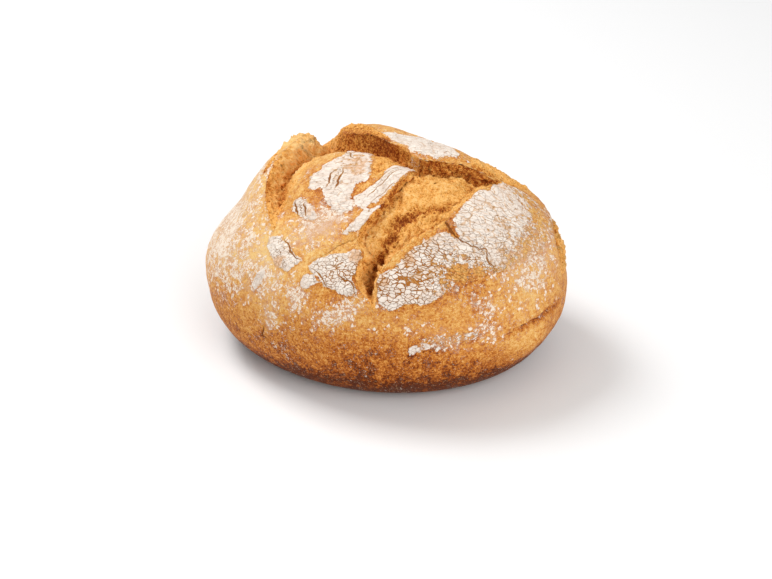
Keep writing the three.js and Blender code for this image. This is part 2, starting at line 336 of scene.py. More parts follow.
# ---- The bread roll: its closed surface --------------------------------------------------------
# The crust is a square grid wrapped over the dough, closest at the crown. The base is flat, and
# closed by rings that shrink to its middle.

GRID_CELLS = 300
CROWN_SPACING = 0.6
BASE_RINGS = 5


def disc_grid(cells):
    """Places on the crust map from a square grid, wrapped as square rings that turn into round
    ones: the ring is the larger of |x| and |y|, and the bearing runs evenly along each side. The
    angle from the crown is the ring, part straight and part cubed, times the rim's angle."""
    side = np.linspace(-1, 1, cells + 1)
    x, y = (a.ravel() for a in np.meshgrid(side, side))
    ring = np.maximum(abs(x), abs(y))
    along_x = abs(x) >= abs(y)
    safe_x, safe_y = np.where(x == 0, 1, x), np.where(y == 0, 1, y)
    bearing = np.where(along_x, y / safe_x, 2 - x / safe_y) * np.pi / 4
    bearing += np.where(np.where(along_x, x, y) < 0, np.pi, 0)
    angle = RIM_ANGLE * (CROWN_SPACING * ring + (1 - CROWN_SPACING) * ring ** 3)
    return angle * np.cos(bearing), angle * np.sin(bearing)


def grid_faces(cells):
    """The grid's four-sided faces, and the loop of its outermost points, anticlockwise."""
    index = np.arange((cells + 1) ** 2).reshape(cells + 1, cells + 1)
    faces = np.stack([index[:-1, :-1], index[:-1, 1:], index[1:, 1:], index[1:, :-1]], axis=-1)
    rim = np.concatenate([index[0, :-1], index[:-1, -1], index[-1, :0:-1], index[:0:-1, 0]])
    return faces.reshape(-1, 4), rim


def surface_normals(points, cells):
    """The outward normal at each point of the grid: the cross product of its slopes along the
    grid's columns and rows."""
    grid = points.reshape(cells + 1, cells + 1, 3)
    normal = np.cross(np.gradient(grid, axis=1), np.gradient(grid, axis=0)).reshape(-1, 3)
    return normal / np.maximum(np.linalg.norm(normal, axis=1, keepdims=True), 1e-9)


# How the torn edges wander: layers of waves, where they are calmer, and where the ear's lip is
# more jagged.
EDGE_WAVES = [(0.5, 4.5, 0, 2), (0.4, 1.6, 9, 2)]
CALM_EDGE = [(1, 7, 10, 8, 0.7)]
JAGGED_EDGE = [(22, -4, 16, 8, 0.75)]
JAGGED_WAVES = [(1.0, 2.6, 60, 2)]

u, v = disc_grid(GRID_CELLS)
angle = np.hypot(u, v)
smooth_place = smooth_dough(u, v)
torn = outline_distance(u, v, TORN_OUTLINES)
ragged = layered_waves(smooth_place, EDGE_WAVES) * (1 - soft_spots(CALM_EDGE, u, v))
ragged += soft_spots(JAGGED_EDGE, u, v) * layered_waves(smooth_place, JAGGED_WAVES)
burst_height, shift, walls = burst_relief(u, v, ragged)
above_rim = 1 - smooth_step((angle - RELIEF_FADE[0]) / (RELIEF_FADE[1] - RELIEF_FADE[0]))
moved_u, moved_v = u + shift[:, 0] * above_rim, v + shift[:, 1] * above_rim
burst_points = smooth_dough(moved_u, moved_v)
burst_points += dough_normal(moved_u, moved_v) * (burst_height * above_rim)[:, None]


RIDGE_SHARPNESS = 2.2


def ridges(place):
    """Sharp ridges, 1 on their tops: one less the sharpness times the gradient noise's size."""
    return 1 - RIDGE_SHARPNESS * abs(waves(place, 2))


# The torn crumb: coarse and middling ridges, pores and strands, all bent by the warp, and a fine
# grain. Heights, depths, widths and spacings are in mm.
WARP_WIDTH = 5.0
COARSE_RIDGE = dict(height=0.5, width=6.0, warp=0.6)
MIDDLE_RIDGE = dict(height=0.45, width=2.6, warp=0.5)
CRUMB_GRAIN = [(0.55, 1.25, 12, 2)]
PORE = dict(depth=2.0, spacing=2.6, radius=0.42, warp=0.4)
STRAND = dict(height=0.9, width=2.1, warp=0.5)
# Strands are read from places squeezed along their run, so that they come out long.
SQUEEZE_ALONG_STRANDS = [[0.88, 0.10, 0.05], [0.30, 0.20, 0.05], [0.10, 0.05, 0.45]]
STRAND_SPOTS = [(-3, -52, 8, 22, 1.0), (4, -28, 6, 12, 0.8), (-35, 0, 8, 26, 0.4)]
warp = np.stack([waves(burst_points / WARP_WIDTH + along, 2) for along in (3, 31, 57)], axis=-1)
squeezed = burst_points @ np.array(SQUEEZE_ALONG_STRANDS)
strand_relief = STRAND["height"] * ridges(squeezed / STRAND["width"] + STRAND["warp"] * warp)
pores = np.clip(PORE["radius"] - pebbles(burst_points / PORE["spacing"] + PORE["warp"] * warp), 0, 1)
coarse_relief = COARSE_RIDGE["height"] * ridges(
    burst_points / COARSE_RIDGE["width"] + COARSE_RIDGE["warp"] * warp)
middle_relief = MIDDLE_RIDGE["height"] * ridges(
    burst_points / MIDDLE_RIDGE["width"] + MIDDLE_RIDGE["warp"] * warp + 20)
crumb_relief = (coarse_relief + middle_relief + layered_waves(burst_points, CRUMB_GRAIN)
                - PORE["depth"] * pores
                + np.clip(soft_spots(STRAND_SPOTS, u, v), 0, 1) * strand_relief)
# Where the torn crumb is calmer, as in the hollow under the ear, or less than 0 where it is
# wilder, as on the ear's lip, the left peak and the split on the right.
CALM_SPOTS = [(45, 8, 20, 14, 0.35), (70, -8, 9, 18, -0.6), (2, 5, 12, 7, 0.95),
              (-9, 14, 7, 9, 0.5), (22, -4, 13, 4, -0.9), (-27, -10, 6, 10, 0.4),
              (-18, 8, 6, 6, 0.2), (-28, 26, 8, 10, -1.1), (-3, 8, 6, 4, -0.3)]
WILDEST, CALMEST = -1.4, 0.9
crumb_relief *= 1 - np.clip(soft_spots(CALM_SPOTS, u, v), WILDEST, CALMEST)
# The crust's swelling under the fold low on the right, given as the swellings above are.
BULGES = [(79, -59, 8, 13, 1.7)]
# The crumb's roughness begins this far outside the torn outline, and is whole after this many
# degrees: fewer on a steep wall.
CRUMB_START, CRUMB_RAMP, WALL_RAMP = 0.3, 2.6, 1.0
ramp = CRUMB_RAMP - (CRUMB_RAMP - WALL_RAMP) * np.clip(walls, 0, 1)
in_crumb = smooth_step((CRUMB_START - torn) / ramp)
CRUST_WAVES = [(0.9, 22, 2, 1), (0.24, 7, 40, 2), (0.07, 1.6, 70, 2)]
crust_relief = layered_waves(burst_points, CRUST_WAVES) + soft_spots(BULGES, u, v)

# Grooves in crumb and crust, and sharp cracks in the crust: points (u, v, half width, depth).
# The half width is in degrees and the depth in mm.
GROOVES = [
    [(-3, -69, 0.8, 0.5), (-5.2, -61.7, 1.6, 1.3), (-4.6, -56.4, 1.8, 1.5), (-1.9, -49, 1.6, 1.5),
     (0.6, -43, 1.4, 1.5), (4.3, -37, 1.2, 1.8), (8, -31, 1, 1.8), (13, -27, 0.9, 1.5),
     (18, -24, 0.8, 1.0), (22, -22, 0.5, 0)],
    [(-31, -10, 1, 0.5), (-29, -2, 1.6, 0.9), (-26.5, 6, 1.8, 1.2), (-24, 14, 1.6, 1.0),
     (-21, 20, 1, 0.5)],
    [(60, -68, 0.6, 0), (64, -62, 0.5, 1.2), (69, -56, 0.5, 1.6), (73, -49, 0.5, 1.6),
     (79, -41, 0.6, 1.3), (84, -31, 0.6, 0)],
]
CRACKS = [
    [(22, -31.5, 0.4, 0.9), (24.5, -34.5, 0.4, 0.9), (27.3, -36.6, 0.3, 0.8), (31, -38, 0.2, 0.6),
     (34.6, -38.3, 0.2, 0.6), (36.8, -37.6, 0.2, 0.5), (38.4, -41.2, 0.2, 0.4),
     (42, -44, 0.2, 0.3), (44, -45.5, 0, 0)],
    [(-36, -48, 0, 0), (-27.7, -46.3, 0.03, 0.4), (-23, -45.5, 0.06, 0.4), (-17.8, -43.8, 0.1, 0.5),
     (-13.6, -42.4, 0.1, 0.5), (-9.5, -41.2, 0.1, 0.4)],
    [(-30.2, -48, 0, 0), (-25.7, -53.6, 0.2, 0.35), (-24.1, -57.6, 0.15, 0.3), (-22.5, -62, 0, 0)],
    [(-18.5, -53, 0.1, 0.2), (-15.8, -57.9, 0.25, 0.4), (-12.7, -58.7, 0.25, 0.4),
     (-11, -64, 0.1, 0.2)],
    [(-24, -12.5, 0, 0), (-26.6, -19.4, 0.35, 0.4), (-28.8, -23.5, 0, 0)],
    [(-22.8, -17.5, 0, 0), (-25.2, -21.8, 0.3, 0.4), (-27, -27, 0, 0)],
    [(-10.2, 4, 0, 0), (-9.3, 1, 0.25, 0.3), (-8.6, -1.5, 0, 0)],
    [(-12.2, -4, 0, 0), (-15.4, -8.8, 0.3, 0.3), (-17.2, -14.5, 0, 0)],
    [(-10.8, -4.5, 0, 0), (-13.5, -12.1, 0.3, 0.3), (-15, -16, 0, 0)],
    [(6.5, -8, 0, 0), (3, -13.5, 0.15, 0.15), (-1, -19, 0.15, 0.15), (-5, -24, 0, 0)],
    [(5.5, -16, 0, 0), (1.5, -21.5, 0.15, 0.15), (-3.5, -26.5, 0, 0)],
    [(4, -7.5, 0, 0), (1, -12.5, 0.12, 0.1), (-2, -17, 0, 0)],
    [(-37.8, -30, 0, 0), (-36.1, -37, 0.3, 0.4), (-35, -42, 0.3, 0.4), (-32, -45, 0, 0)],
    [(-65, -60.5, 0, 0), (-66.8, -61.8, 0.4, 0.5), (-70.9, -63.5, 0.5, 0.8), (-67.5, -68, 0, 0)],
    [(-67, -39, 0, 0), (-57, -37, 0.04, 0.4), (-50, -37, 0, 0)],
]

# Far from every line, a place is taken to be this many degrees off.
FAR_OFF = 9.0
# The lines wander by about this many degrees, in waves this many mm wide.
WANDER = 0.8
WANDER_WIDTH = 2.4
# Degrees added to each half width, and the distances between which a width falls to nothing.
GROOVE_SHOULDER = 0.5
CRACK_WHOLE, CRACK_GONE = 1.0, 1.8


def carve(lines):
    """Sinks the surface along each line as a bell curve of the distance over the half width and
    a little more. Noise added to the places makes the lines wander. Gives the depths, the signed
    distance to the nearest line, and its half width, which falls to nothing a short way off."""
    depth, side, width = np.zeros(len(u)), np.full(len(u), FAR_OFF), np.zeros(len(u))
    wander_u = u + layered_waves(smooth_place, [(WANDER, WANDER_WIDTH, 33, 2)])
    wander_v = v + layered_waves(smooth_place, [(WANDER, WANDER_WIDTH, 83, 2)])
    for line in lines:
        distance, _, left, columns = nearest_on_line(wander_u, wander_v, smooth_line(line))
        half_width, deep = columns.T
        depth = np.maximum(depth, deep * bell(distance / (half_width + GROOVE_SHOULDER)))
        closer = distance < abs(side)
        side = np.where(closer, np.where(left, distance, -distance), side)
        nearness = np.clip((CRACK_GONE - distance) / (CRACK_GONE - CRACK_WHOLE), 0, 1)
        width = np.where(closer, half_width * nearness, width)
    return depth, side, width


# Where the flour caked on: the outlines of its patches. The first two lie on the middle plate,
# the first across it and the second along its torn edge.
FLOUR_OUTLINES = [
    [(-9, 9), (-10, 5), (-12, 1), (-16, -2), (-20, -6), (-21, -12), (-18, -14), (-18, -22),
     (-16, -27), (-13, -28.5), (-10, -27), (-10, -20), (-8, -15), (-4, -13), (-4, 0), (-6, 5),
     (-7, 8)],
    [(2, -6), (4, -5), (7, -7), (8, -10), (7, -14), (5, -18), (2, -22), (-1, -26), (-6, -28),
     (-8, -26), (-9, -22), (-4, -18), (-2, -17), (0, -14), (1, -10)],
    # below them: a strip beside the front burst, and a small patch on the left
    [(1, -28), (-4, -29), (-8, -32), (-12, -36), (-15, -39), (-9, -38), (-5, -35), (-2, -31)],
    [(-25, -14), (-28, -20), (-28, -24), (-26, -28), (-24, -28), (-23, -22), (-23, -16)],
    # left of the front burst: one above the crease, one crazed patch below it, and two small ones
    [(-42, -28), (-45, -32), (-44, -40), (-42, -44), (-39, -47), (-36, -46), (-33, -44),
     (-35, -40), (-37, -34), (-39, -29)],
    [(-30, -48), (-20, -46), (-15, -47), (-10, -46), (-7, -48), (-9, -53), (-12.5, -58),
     (-11, -60), (-10, -62.5), (-11, -64), (-14, -65), (-19, -63), (-24, -59), (-27, -54)],
    [(-35, -53), (-31, -51.5), (-28, -54), (-27, -57), (-34, -57)],
    [(-59, -45), (-57, -41), (-50, -40), (-51, -43), (-55, -45)],
    # the right plate, nearly all of it
    [(0, -57.5), (3, -55.5), (6.5, -52.5), (9.5, -48.5), (13, -44.5), (16.5, -41), (20, -37.5),
     (22.5, -36), (25, -37), (28, -36), (25, -33), (24, -30), (25, -26), (27, -19), (33, -15),
     (36, -8), (40, -3), (50, -3), (58, -9), (60, -20), (57, -31), (50, -38), (43, -46), (34, -53),
     (27, -61), (20, -67), (12, -68), (8, -70.5), (3, -71), (0, -68), (-1, -64)],
    # the ear, and a sliver on its lip
    [(1, 13), (5, 6), (7, 1), (8.5, -1.5), (11, -3), (14, -4.5), (16, -4.5), (19, -2),
     (22.5, -1), (24, 3), (22, 10), (14, 14), (6, 15)],
    [(24, -1.5), (26.5, -2.8), (29.5, -5), (29, -3.4), (26.7, -1.4), (24.5, -0.4)],
    # a smear low on the front
    [(16, -86), (25, -80), (33, -77), (38, -74), (46, -70.5), (46.5, -74.5), (39, -79), (33, -83),
     (25, -86), (17, -90)],
    # the back
    [(20, 46), (27, 41), (37, 44), (41, 52), (36, 60), (28, 57), (22, 60), (18, 53)],
    [(-4, 60), (4, 55), (11, 57), (12, 66), (5, 72), (-2, 69)],
    [(-52, 46), (-46, 38), (-40, 42), (-41, 52), (-46, 60), (-53, 56)],
]
# Where the thick flour is worn through, 0 to 1.
WORN_SPOTS = [(56, -32, 12, 14, 1.1), (38, -53, 15, 9, 1.3), (58, -14, 8, 10, 0.8),
              (46, -6, 10, 6, 0.5), (-8, -2, 4, 8, 0.3), (34, 26, 20, 8, 0.5),
              (32, -80, 18, 7, 0.8), (49, -68, 8, 14, 0.6), (-9, -69, 8, 6, 0.3),
              (28, 52, 14, 12, 0.9), (4, 62, 12, 12, 0.9), (-47, 47, 10, 14, 0.9)]
worn = np.clip(soft_spots(WORN_SPOTS, u, v), 0, 1)
# The distance to the nearest patch's edge, less than 0 inside. It wanders everywhere, and more
# where the flour is worn.
flour = outline_distance(u, v, FLOUR_OUTLINES)
PATCH_WAVES = [(0.8, 3.2, 50, 3)]
WORN_PATCH_WAVES = [(1.8, 2.0, 80, 2)]
flour += layered_waves(smooth_place, PATCH_WAVES)
flour += worn * layered_waves(smooth_place, WORN_PATCH_WAVES)
# The caked flour's thickness in mm, reached half a degree inside its edge.
FLOUR_THICKNESS = 0.3
FLOUR_RIM = 0.5
flour_height = FLOUR_THICKNESS * smooth_step(FLOUR_RIM - flour) * (1 - in_crumb) * (1 - worn)

groove_depth = carve(GROOVES)[0]
crack_depth, crack_side, crack_width = carve(CRACKS)
rough_height = in_crumb * crumb_relief + crust_relief - groove_depth - crack_depth + flour_height
raised = (rough_height * above_rim)[:, None]
crust_points = burst_points + surface_normals(burst_points, GRID_CELLS) * raised

# The crust's faces, then the base's rings, then the fan that closes its middle.
faces, rim = grid_faces(GRID_CELLS)
faces = faces.tolist()
base_middle = crust_points[rim].mean(axis=0)
points = [crust_points]
ring = rim
for k in range(1, BASE_RINGS):
    share = 1 - k / BASE_RINGS
    points.append(base_middle + (crust_points[rim] - base_middle) * share)
    inner = np.arange(len(rim)) + len(crust_points) + (k - 1) * len(rim)
    faces += np.stack([ring, inner, np.roll(inner, -1), np.roll(ring, -1)], axis=-1).tolist()
    ring = inner
points.append(base_middle[None])
points = np.concatenate(points)
last = np.full(len(rim), len(points) - 1)
faces += np.stack([ring, last, np.roll(ring, -1)], axis=-1).tolist()

# The roll stands where its CAD node stands: seen from above, the middles of their boxes agree,
# and the base is at the same level.
own_middle = (crust_points.min(axis=0) + crust_points.max(axis=0)) / 2
points[:, :2] -= own_middle[:2]
points = points * MM
points[:, :2] += ((roll_low + roll_high) / 2)[:2]
points[:, 2] += roll_low[2]

roll_mesh = bpy.data.meshes.new("roll_crust_and_crumb")
roll_mesh.from_pydata(points.tolist(), [], faces)
roll_mesh.polygons.foreach_set("use_smooth", np.ones(len(roll_mesh.polygons), bool))
roll = bpy.data.objects.new("roll_crust_and_crumb", roll_mesh)
bpy.context.scene.collection.objects.link(roll)


def keep_on_surface(name, values, on_base=0.0):
    """Stores one value per point as a named attribute, and one value for all of the base."""
    attribute = roll_mesh.attributes.new(name, "FLOAT", "POINT")
    whole = np.full(len(points), on_base)
    whole[:len(values)] = values
    attribute.data.foreach_set("value", whole)


# ---- The bread roll: where it is floured, cracked and browned, with painted light and shade ----
# The flour that the dough was shaped with baked on as white patches with crisp edges. They cracked
# into plates as the crust stretched, and a thin dust lies between them.

keep_on_surface("flour_edge", flour, FAR_OFF)
keep_on_surface("torn_edge", torn, FAR_OFF)
# How high the crumb stands, 0 in its pits to 1 on its ridges, and lower in the grooves. It only
# colours the crumb: painted shade in its pits and grooves.
MIDDLE_HEIGHT, PER_MM_OF_RELIEF, PER_MM_OF_GROOVE = 0.5, 0.25, 0.3
keep_on_surface("crumb_height_shade", np.clip(
    MIDDLE_HEIGHT + PER_MM_OF_RELIEF * crumb_relief - PER_MM_OF_GROOVE * groove_depth, 0, 1))
keep_on_surface("crack_side", crack_side, FAR_OFF)
keep_on_surface("crack_width", crack_width)

# Thin dust of flour: none at 0, all over at 1, and thicker above that.
DUST_SPOTS = [(-62, 16, 27, 36, 1.7), (-62, -26, 13, 18, 0.55), (-28, -35, 14, 9, 0.8),
              (-20, -28, 11, 9, 0.9), (-52, -46, 10, 14, 0.8), (-39, -60, 7, 7, 1.0),
              (-58, -61, 6, 6, 0.9), (-22, -73, 11, 5, 1.1), (52, -38, 18, 13, 0.9),
              (60, -20, 10, 16, 0.8), (36, -60, 14, 8, 0.35), (34, -79, 13, 5, 0.8),
              (52, -70, 12, 5, 0.6), (20, 58, 40, 24, 0.8), (10, 8, 14, 10, 0.6),
              (-10, 70, 50, 14, 0.8), (4, -78, 20, 5, 0.4), (-9, -68, 7, 4, 0.7),
              (48, -59, 5, 4, 0.5)]
# How strongly the floured crust is crazed into small tiles, and how strongly into long wavy
# cracks, 0 to 1.
TILE_SPOTS = [(7, -61, 13, 9, 1.0), (15, -50, 10, 9, 0.8), (-16, -54, 11, 7, 0.8),
              (-41, -38, 6, 8, 0.25), (36, -44, 14, 12, 0.25)]
WAVE_SPOTS = [(-56, -2, 14, 30, 0.8), (-26, -34, 14, 10, 0.6), (30, -36, 14, 14, 1.0),
              (40, -20, 18, 14, 0.8), (24, -54, 10, 10, 0.8), (-12, -10, 8, 14, 0.3),
              (20, 30, 30, 30, 0.5)]
# Where the flour is too thin to be white, 0 to 1.
THIN_SPOTS = [(-9, -49, 4, 4, 1.0), (-43, -41, 4, 4, 1.0), (-8, -5, 4, 8, 0.8),
              (2, -60, 3, 4, 0.7), (11, -49, 3, 6, 0.8), (18, -40, 4, 4, 0.8),
              (52, -12, 8, 8, 0.5), (46, -38, 9, 7, 0.6), (38, -8, 6, 5, 0.5),
              (-25, -24, 3, 4, 0.6), (-21, -34, 9, 5, 0.8), (32, -62, 12, 6, 0.6)]
# How much darker than middling the crust is baked, or lighter where it is less than 0.
BAKE_SPOTS = [(-45, -34, 8, 14, -0.35), (-25, -48, 16, 5, -0.25), (-60, 15, 22, 40, -0.3),
              (0, -100, 80, 22, 0.2), (62, -52, 14, 14, -0.15), (-56, -15, 8, 8, 0.1),
              (0, 0, 40, 40, -0.15), (-15, -21, 11, 9, 0.28), (38, -56, 14, 8, 0.12),
              (74, -62, 8, 10, -0.2)]
# How deeply the torn crumb is toasted, or less than 0 where it is palest. The spots under the
# ear's edge and at the middle plate's edge are partly painted shade under the overhang, and the
# strongest pale spot, on the left peak, is painted light.
TOAST_LIGHT_AND_SHADE_SPOTS = [(2, -25, 5, 7, 0.6), (18, -7, 14, 4, 0.6), (-5, 24, 10, 14, 0.3),
               (-4, -56, 8, 14, -0.3), (-36, -6, 5, 14, -0.2), (3, 3, 10, 5, 0.8),
               (30, -6, 8, 3, 0.4), (68, -9, 7, 15, 0.6), (-28, 22, 7, 9, -1.0),
               (-24, 4, 7, 10, -0.5)]
MOST_DUST = 1.6
BASE_DUST = 0.45
keep_on_surface("dust", np.clip(soft_spots(DUST_SPOTS, u, v), 0, MOST_DUST), BASE_DUST)
keep_on_surface("thin", np.clip(soft_spots(THIN_SPOTS, u, v), 0, 1))
keep_on_surface("worn", worn)
keep_on_surface("tiled", np.clip(soft_spots(TILE_SPOTS, u, v), 0, 1))
keep_on_surface("wavy", np.clip(soft_spots(WAVE_SPOTS, u, v), 0, 1))
# The crust is darker low down and darkest near the base, partly from baking and partly as painted
# shade. The dark band round the flour patches and the darkening in the folds are painted shade.
MIDDLE_BAKE, BASE_BAKE = 0.42, 0.86
low_bake_and_shade = 0.35 * smooth_step((angle - 75) / 50) + 0.42 * smooth_step((angle - 102) / 20)
flour_rim_shade = 0.14 * bell((flour - 0.6) / 0.8)
fold_shade = 0.3 * groove_depth
bake_and_shade = MIDDLE_BAKE + low_bake_and_shade + soft_spots(BAKE_SPOTS, u, v) + flour_rim_shade + fold_shade
keep_on_surface("bake_and_shade", np.clip(bake_and_shade, 0, 1), BASE_BAKE)
# Lines along which the crumb is toasted most: points (u, v, half width, strength). Along the
# middle plate's edge and the ear's edge this is partly painted shade under the overhang.
TOAST_AND_SHADE_LINES = [
    [(-40, -20, 1.2, 0.4), (-39.5, -8, 1.8, 0.8), (-37.5, 4, 2, 0.9), (-34, 12, 1.6, 0.8),
     (-29, 19, 1.2, 0.3)],
    [(-9.5, -58, 0.4, 0.3), (-6.5, -49, 0.6, 0.5), (-8, -42, 0.7, 0.6), (-5, -36, 0.8, 0.7),
     (-1, -30, 1, 1), (2, -25, 1, 1), (5, -19, 0.8, 0.8), (8, -11, 0.6, 0.5)],
    [(8, -2, 1.5, 0.7), (12, -5, 1.5, 0.9), (16, -6.2, 1.5, 0.9), (21, -4.8, 1.2, 0.8),
     (26, -5.2, 1.2, 0.8), (31, -5.6, 1.2, 0.8), (36, -5.6, 0.8, 0.6)],
    [(-13, 26, 2, 0.6), (-10, 18, 2, 0.7), (-5, 11.5, 2, 0.7), (1, 6.5, 2, 0.7)],
    [(71, -23, 1, 0.4), (65, -20.5, 1.5, 0.7), (62.5, -14, 1.5, 0.8), (62.5, -7, 1.5, 0.7),
     (61, 1, 1, 0.4)],
]
lined_toast_and_shade = carve(TOAST_AND_SHADE_LINES)[0]
WALL_TOAST = 0.3
PALEST_TOAST_AND_LIGHT = -0.7
toast_light_and_shade = soft_spots(TOAST_LIGHT_AND_SHADE_SPOTS, u, v) + WALL_TOAST * walls + lined_toast_and_shade
keep_on_surface("toast_light_and_shade", np.clip(toast_light_and_shade, PALEST_TOAST_AND_LIGHT, 1))
crust_map = roll_mesh.attributes.new("crust_map", "FLOAT_VECTOR", "POINT")
map_places = np.zeros((len(points), 3))
map_places[:len(u), 0], map_places[:len(u), 1] = u, v
crust_map.data.foreach_set("vector", map_places.ravel())


# The roll's one material: browned crust, flour on it, and torn crumb.
def srgb(red, green, blue):
    """A colour given as 0 to 255 display values, as the linear values that a shader takes."""
    linear = [c / 255 / 12.92 if c <= 10 else ((c / 255 + 0.055) / 1.055) ** 2.4
              for c in (red, green, blue)]
    return (*linear, 1.0)


crust_look = bpy.data.materials.new("baked_crust_and_crumb")
crust_look.use_nodes = True
tree = crust_look.node_tree
tree.nodes.clear()


def node(kind, inputs=None, **settings):
    """Adds a shader node. A value in inputs is either a plain value or another node's output."""
    made = tree.nodes.new(kind)
    for name, value in settings.items():
        setattr(made, name, value)
    for key, value in (inputs or {}).items():
        if isinstance(value, bpy.types.NodeSocket):
            tree.links.new(value, made.inputs[key])
        else:
            made.inputs[key].default_value = value
    return made


def maths(operation, first, second=0.0):
    """One sum on two values, such as ADD or MULTIPLY."""
    return node("ShaderNodeMath", {0: first, 1: second}, operation=operation).outputs[0]


def step_between(value, low, high):
    """0 where the value is under low, 1 over high, and smooth between."""
    return node("ShaderNodeMapRange", {"Value": value, "From Min": low, "From Max": high},
                interpolation_type="SMOOTHSTEP").outputs["Result"]


def blend(share, first, second):
    """The first colour where share is 0, and the second where it is 1."""
    made = node("ShaderNodeMix", data_type="RGBA")
    for socket, value in zip([made.inputs[0], made.inputs[6], made.inputs[7]],
                             [share, first, second]):
        if isinstance(value, bpy.types.NodeSocket):
            tree.links.new(value, socket)
        else:
            socket.default_value = value
    return made.outputs[2]


def stored(name):
    """A value kept on the surface."""
    return node("ShaderNodeAttribute", attribute_name=name).outputs["Fac"]


def mottle(place, size, detail=2.0, roughness=0.5):
    """Noise from 0 to 1 with waves of about that many mm."""
    return node("ShaderNodeTexNoise", {"Vector": place, "Scale": 1 / size, "Detail": detail,
                                       "Roughness": roughness}).outputs["Fac"]


def cells(place, size, feature):
    """The distance to the nearest cell's middle (F1) or to the edges between cells."""
    return node("ShaderNodeTexVoronoi", {"Vector": place, "Scale": 1 / size},
                feature=feature).outputs["Distance"]


def tones(value, stops):
    """A colour ramp through (position, colour) stops."""
    made = node("ShaderNodeValToRGB", {"Fac": value})
    ramp = made.color_ramp
    while len(ramp.elements) < len(stops):
        ramp.elements.new(0.5)
    for element, (position, colour) in zip(ramp.elements, stops):
        element.position = position
        element.color = colour
    return made.outputs["Color"]


# Places in mm.
object_place = node("ShaderNodeTexCoord").outputs["Object"]
place = node("ShaderNodeVectorMath", {0: object_place, "Scale": 1 / MM},
             operation="SCALE").outputs["Vector"]
# The crust map, wobbled so that what is drawn on it has no straight lines.
WOBBLE_WIDTH = 2.4
WOBBLE_REACH = (2.6, 2.6, 0.0)
wobble = node("ShaderNodeTexNoise", {"Vector": place, "Scale": 1 / WOBBLE_WIDTH,
                                     "Detail": 3.0}).outputs["Color"]
map_place = node("ShaderNodeAttribute", attribute_name="crust_map").outputs["Vector"]
wobbled_map = node("ShaderNodeVectorMath", {0: wobble, 1: WOBBLE_REACH, 2: map_place},
                   operation="MULTIPLY_ADD").outputs["Vector"]


def spread(noise, gain=2.2):
    """Noise stretched about its middle, so that it fills 0 to 1."""
    return maths("ADD", maths("MULTIPLY", maths("SUBTRACT", noise, 0.5), gain), 0.5)


def varied(base, *parts):
    """The base value, plus each noise about its middle times its weight."""
    for noise, weight in parts:
        base = maths("ADD", base, maths("MULTIPLY", maths("SUBTRACT", noise, 0.5), weight))
    return base


def cell_pick(vector, size):
    """A random value from 0 to 1, the same all over each cell."""
    made = node("ShaderNodeTexVoronoi", {"Vector": vector, "Scale": 1 / size})
    return node("ShaderNodeSeparateColor", {"Color": made.outputs["Color"]}).outputs["Red"]


def crack_lines(turn, long, short, share, width=0.055):
    """Lines between cells that are long one way and short the other, in degrees, turned on the
    crust map, where share lets them through; noise widens them and closes them."""
    turned = node("ShaderNodeMapping", {"Vector": wobbled_map, "Rotation": (0, 0, math.radians(turn)),
                                        "Scale": (1 / long, 1 / short, 1)})
    edges = cells(turned.outputs["Vector"], 1.0, "DISTANCE_TO_EDGE")
    width = maths("MULTIPLY", share, varied(width, (spread(mottle(place, 3.2, 3)), 0.12)))
    return step_between(maths("SUBTRACT", edges, width), 0.03, -0.02)


broad, medium = spread(mottle(place, 12, 3)), spread(mottle(place, 3.0, 3))
fine, grit = spread(mottle(place, 0.9, 3, 0.6)), spread(mottle(place, 0.4, 2, 0.6))

# Crust: from pale gold to dark orange-brown with how deeply it baked, and with the painted shade
# kept with the bake.
bake_and_shade_value = varied(stored("bake_and_shade"), (broad, 0.26), (medium, 0.3), (fine, 0.5), (grit, 0.5))
crust_colour = tones(bake_and_shade_value, [
    (0.0, srgb(236, 196, 128)), (0.3, srgb(222, 162, 84)), (0.55, srgb(198, 122, 48)),
    (0.78, srgb(156, 76, 16)), (0.95, srgb(86, 34, 3))])
pale_specks = step_between(cells(place, 1.0, "F1"), 0.24, 0.12)
crust_colour = blend(maths("MULTIPLY", pale_specks, 0.35), crust_colour, srgb(244, 214, 166))

# Flour: thick patches with broken edges, a thin veil of dust, and flecks where the dust caked.
tiles = crack_lines(-40, 2.3, 1.35, stored("tiled"), 0.068)
wavy = crack_lines(8, 5.0, 2.0, maths("MULTIPLY", stored("wavy"), 0.7))
crack_gap = maths("SUBTRACT", maths("ABSOLUTE", stored("crack_side")),
                  maths("MULTIPLY", stored("crack_width"), varied(0.9, (medium, 0.7))))
cracked = maths("MULTIPLY", step_between(crack_gap, 0.12, -0.04),
                step_between(stored("crack_width"), 0.0, 0.08))
patch_grain = spread(mottle(place, 1.6, 6, 0.72))
patch_cover = maths("MULTIPLY", stored("flour_edge"), -0.55)
patch_cover = maths("MINIMUM", maths("ADD", patch_cover, 0.5), varied(0.84, (broad, 0.2)))
patch_cover = maths("SUBTRACT", patch_cover, maths("MULTIPLY", stored("worn"), 0.6))
thick = step_between(maths("SUBTRACT", patch_cover, patch_grain), -0.03, 0.06)
dust = stored("dust")
dust_value = maths("MULTIPLY", dust, 0.9)
veil = step_between(varied(dust_value, (patch_grain, 0.9), (medium, 0.8), (broad, 0.4), (grit, 0.9)),
                    0.3, 1.05)
flecks = step_between(varied(maths("MULTIPLY", dust, 0.42), (patch_grain, 1.2),
                             (broad, 0.5), (grit, 0.4)), 0.5, 0.58)
